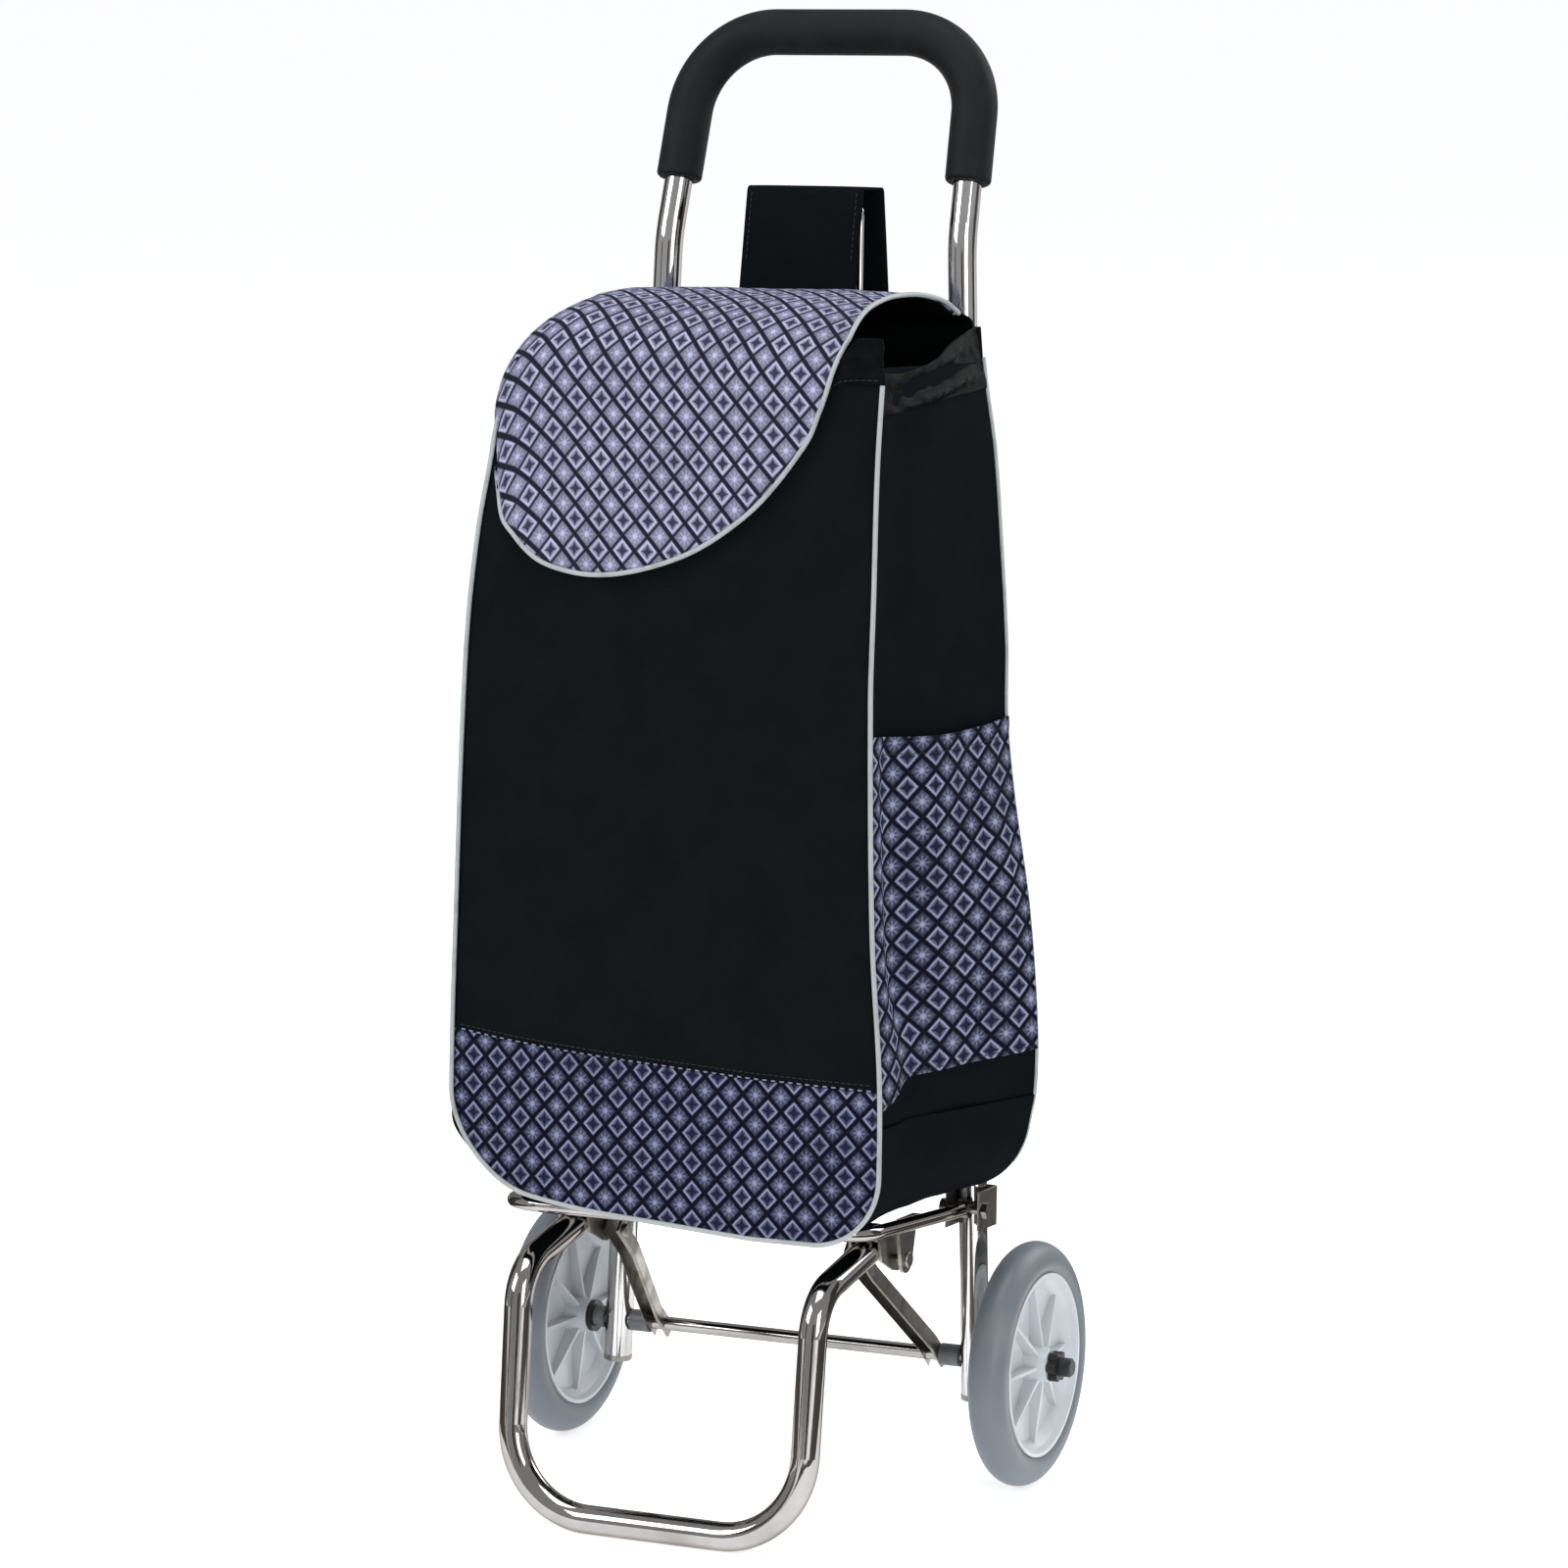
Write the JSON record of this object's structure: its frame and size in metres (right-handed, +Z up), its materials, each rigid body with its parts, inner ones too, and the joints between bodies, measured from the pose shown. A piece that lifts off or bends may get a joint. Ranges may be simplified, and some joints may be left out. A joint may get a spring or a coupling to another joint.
{
  "type": "shopping trolley on wheels",
  "caption": "Upright wheeled shopping bag on a folding tube frame, with a U-shaped handle, side pockets, a flap lid and a front foot.",
  "frame": {"origin": "middle of the overall width and depth, on the floor", "axes": "+X to the right of someone facing the bag's front, +Y towards the handle side, +Z up"},
  "size_m": [0.41, 0.3424, 0.9817],
  "materials": {
    "chrome_tube": "polished bent tube",
    "foam": "matt closed-cell foam",
    "black_plastic": "moulded",
    "grey_plastic": "turned sleeve",
    "zinc_steel": "zinc plated",
    "tyre": "grey, smooth",
    "white_plastic": "moulded",
    "black_cloth": "woven",
    "print_cloth": "printed woven",
    "black_nylon": "thin, slightly shiny",
    "piping": "cord-filled edging",
    "zip_metal": "black"
  },
  "bodies": {
    "frame": {"handle_frame": "chrome_tube", "foam_grip": "foam", "upright_plugs": "black_plastic", "crossbar": "chrome_tube", "hanger_hoop": "chrome_tube", "axle": "chrome_tube", "inner_sleeves": "grey_plastic", "outer_sleeves": "grey_plastic", "axle_washers": "black_plastic", "hub_caps": "black_plastic", "bag_front_panel": "black_cloth", "bag_front_band": "print_cloth", "bag_side_left": "black_cloth", "bag_side_right": "black_cloth", "bag_back_panel": "black_cloth", "bag_base": "black_cloth", "side_pocket_left": "print_cloth", "side_pocket_right": "print_cloth", "bag_collar": "black_nylon", "front_piping": "piping", "back_piping": "piping", "zip_tape": "black_nylon", "hanging_loop": "black_cloth"},
    "wheel_left": {"tyre_left": "tyre", "rim_left": "white_plastic", "bush_left": "white_plastic"},
    "wheel_right": {"tyre_right": "tyre", "rim_right": "white_plastic", "bush_right": "white_plastic"},
    "brackets": {"bracket_left": "zinc_steel", "bracket_right": "zinc_steel", "bracket_bolts": "zinc_steel"},
    "tray": {"tray_rod": "chrome_tube", "tray_eyes": "zinc_steel", "tray_cross": "chrome_tube", "tray_hangers": "zinc_steel"},
    "foot": {"foot_tube": "chrome_tube", "foot_brackets": "zinc_steel", "foot_pins": "zinc_steel", "foot_plugs": "black_plastic"},
    "struts": {"strut_left": "zinc_steel", "strut_right": "zinc_steel", "strut_rivets": "zinc_steel"},
    "zip": {"zip_slider": "zip_metal", "zip_pull": "zip_metal"},
    "lid": {"lid_flap": "print_cloth", "lid_piping": "piping"}
  },
  "joints": [
    {"name": "wheel_left_spin", "type": "hinge", "parent": "frame", "child": "wheel_left", "pos_m": [0, 0.0605, 0.0825], "axis": [1, 0, 0], "continuous": true},
    {"name": "wheel_right_spin", "type": "hinge", "parent": "frame", "child": "wheel_right", "pos_m": [0, 0.0605, 0.0825], "axis": [1, 0, 0], "continuous": true},
    {"name": "bracket_slide", "type": "slide", "parent": "frame", "child": "brackets", "axis": [0, -0.0645, -0.9979], "range_m": [0, 0.06365], "deforming": ["bag_front_panel", "bag_front_band", "bag_side_left", "bag_side_right", "bag_back_panel", "bag_base", "side_pocket_left", "side_pocket_right", "bag_collar", "front_piping", "back_piping", "zip_tape"]},
    {"name": "tray_fold", "type": "hinge", "parent": "brackets", "child": "tray", "pos_m": [0, 0.05124, 0.18732], "axis": [-1, 0, 0], "range_deg": [0, 87.02]},
    {"name": "foot_fold", "type": "hinge", "parent": "tray", "child": "foot", "pos_m": [0, -0.03148, 0.17102], "axis": [1, 0, 0], "range_deg": [0, 107.03]},
    {"name": "strut_swing", "type": "hinge", "parent": "frame", "child": "struts", "pos_m": [0, 0.0605, 0.0825], "axis": [-1, 0, 0], "range_deg": [0, 30.69]},
    {"name": "lid_lift", "type": "hinge", "parent": "frame", "child": "lid", "pos_m": [0, 0.07293, 0.78616], "axis": [-1, 0, 0], "range_deg": [0, 80]},
    {"name": "zip_slide", "type": "slide", "parent": "frame", "child": "zip", "axis": [0, -0.0645, -0.9979], "range_m": [0, 0.17]}
  ],
  "couplings": [
    {"joint": "tray_fold", "follows": "bracket_slide", "rad_per_m": 23.855},
    {"joint": "foot_fold", "follows": "bracket_slide", "rad_per_m": 29.339},
    {"joint": "strut_swing", "follows": "bracket_slide", "rad_per_m": 8.4089}
  ]
}
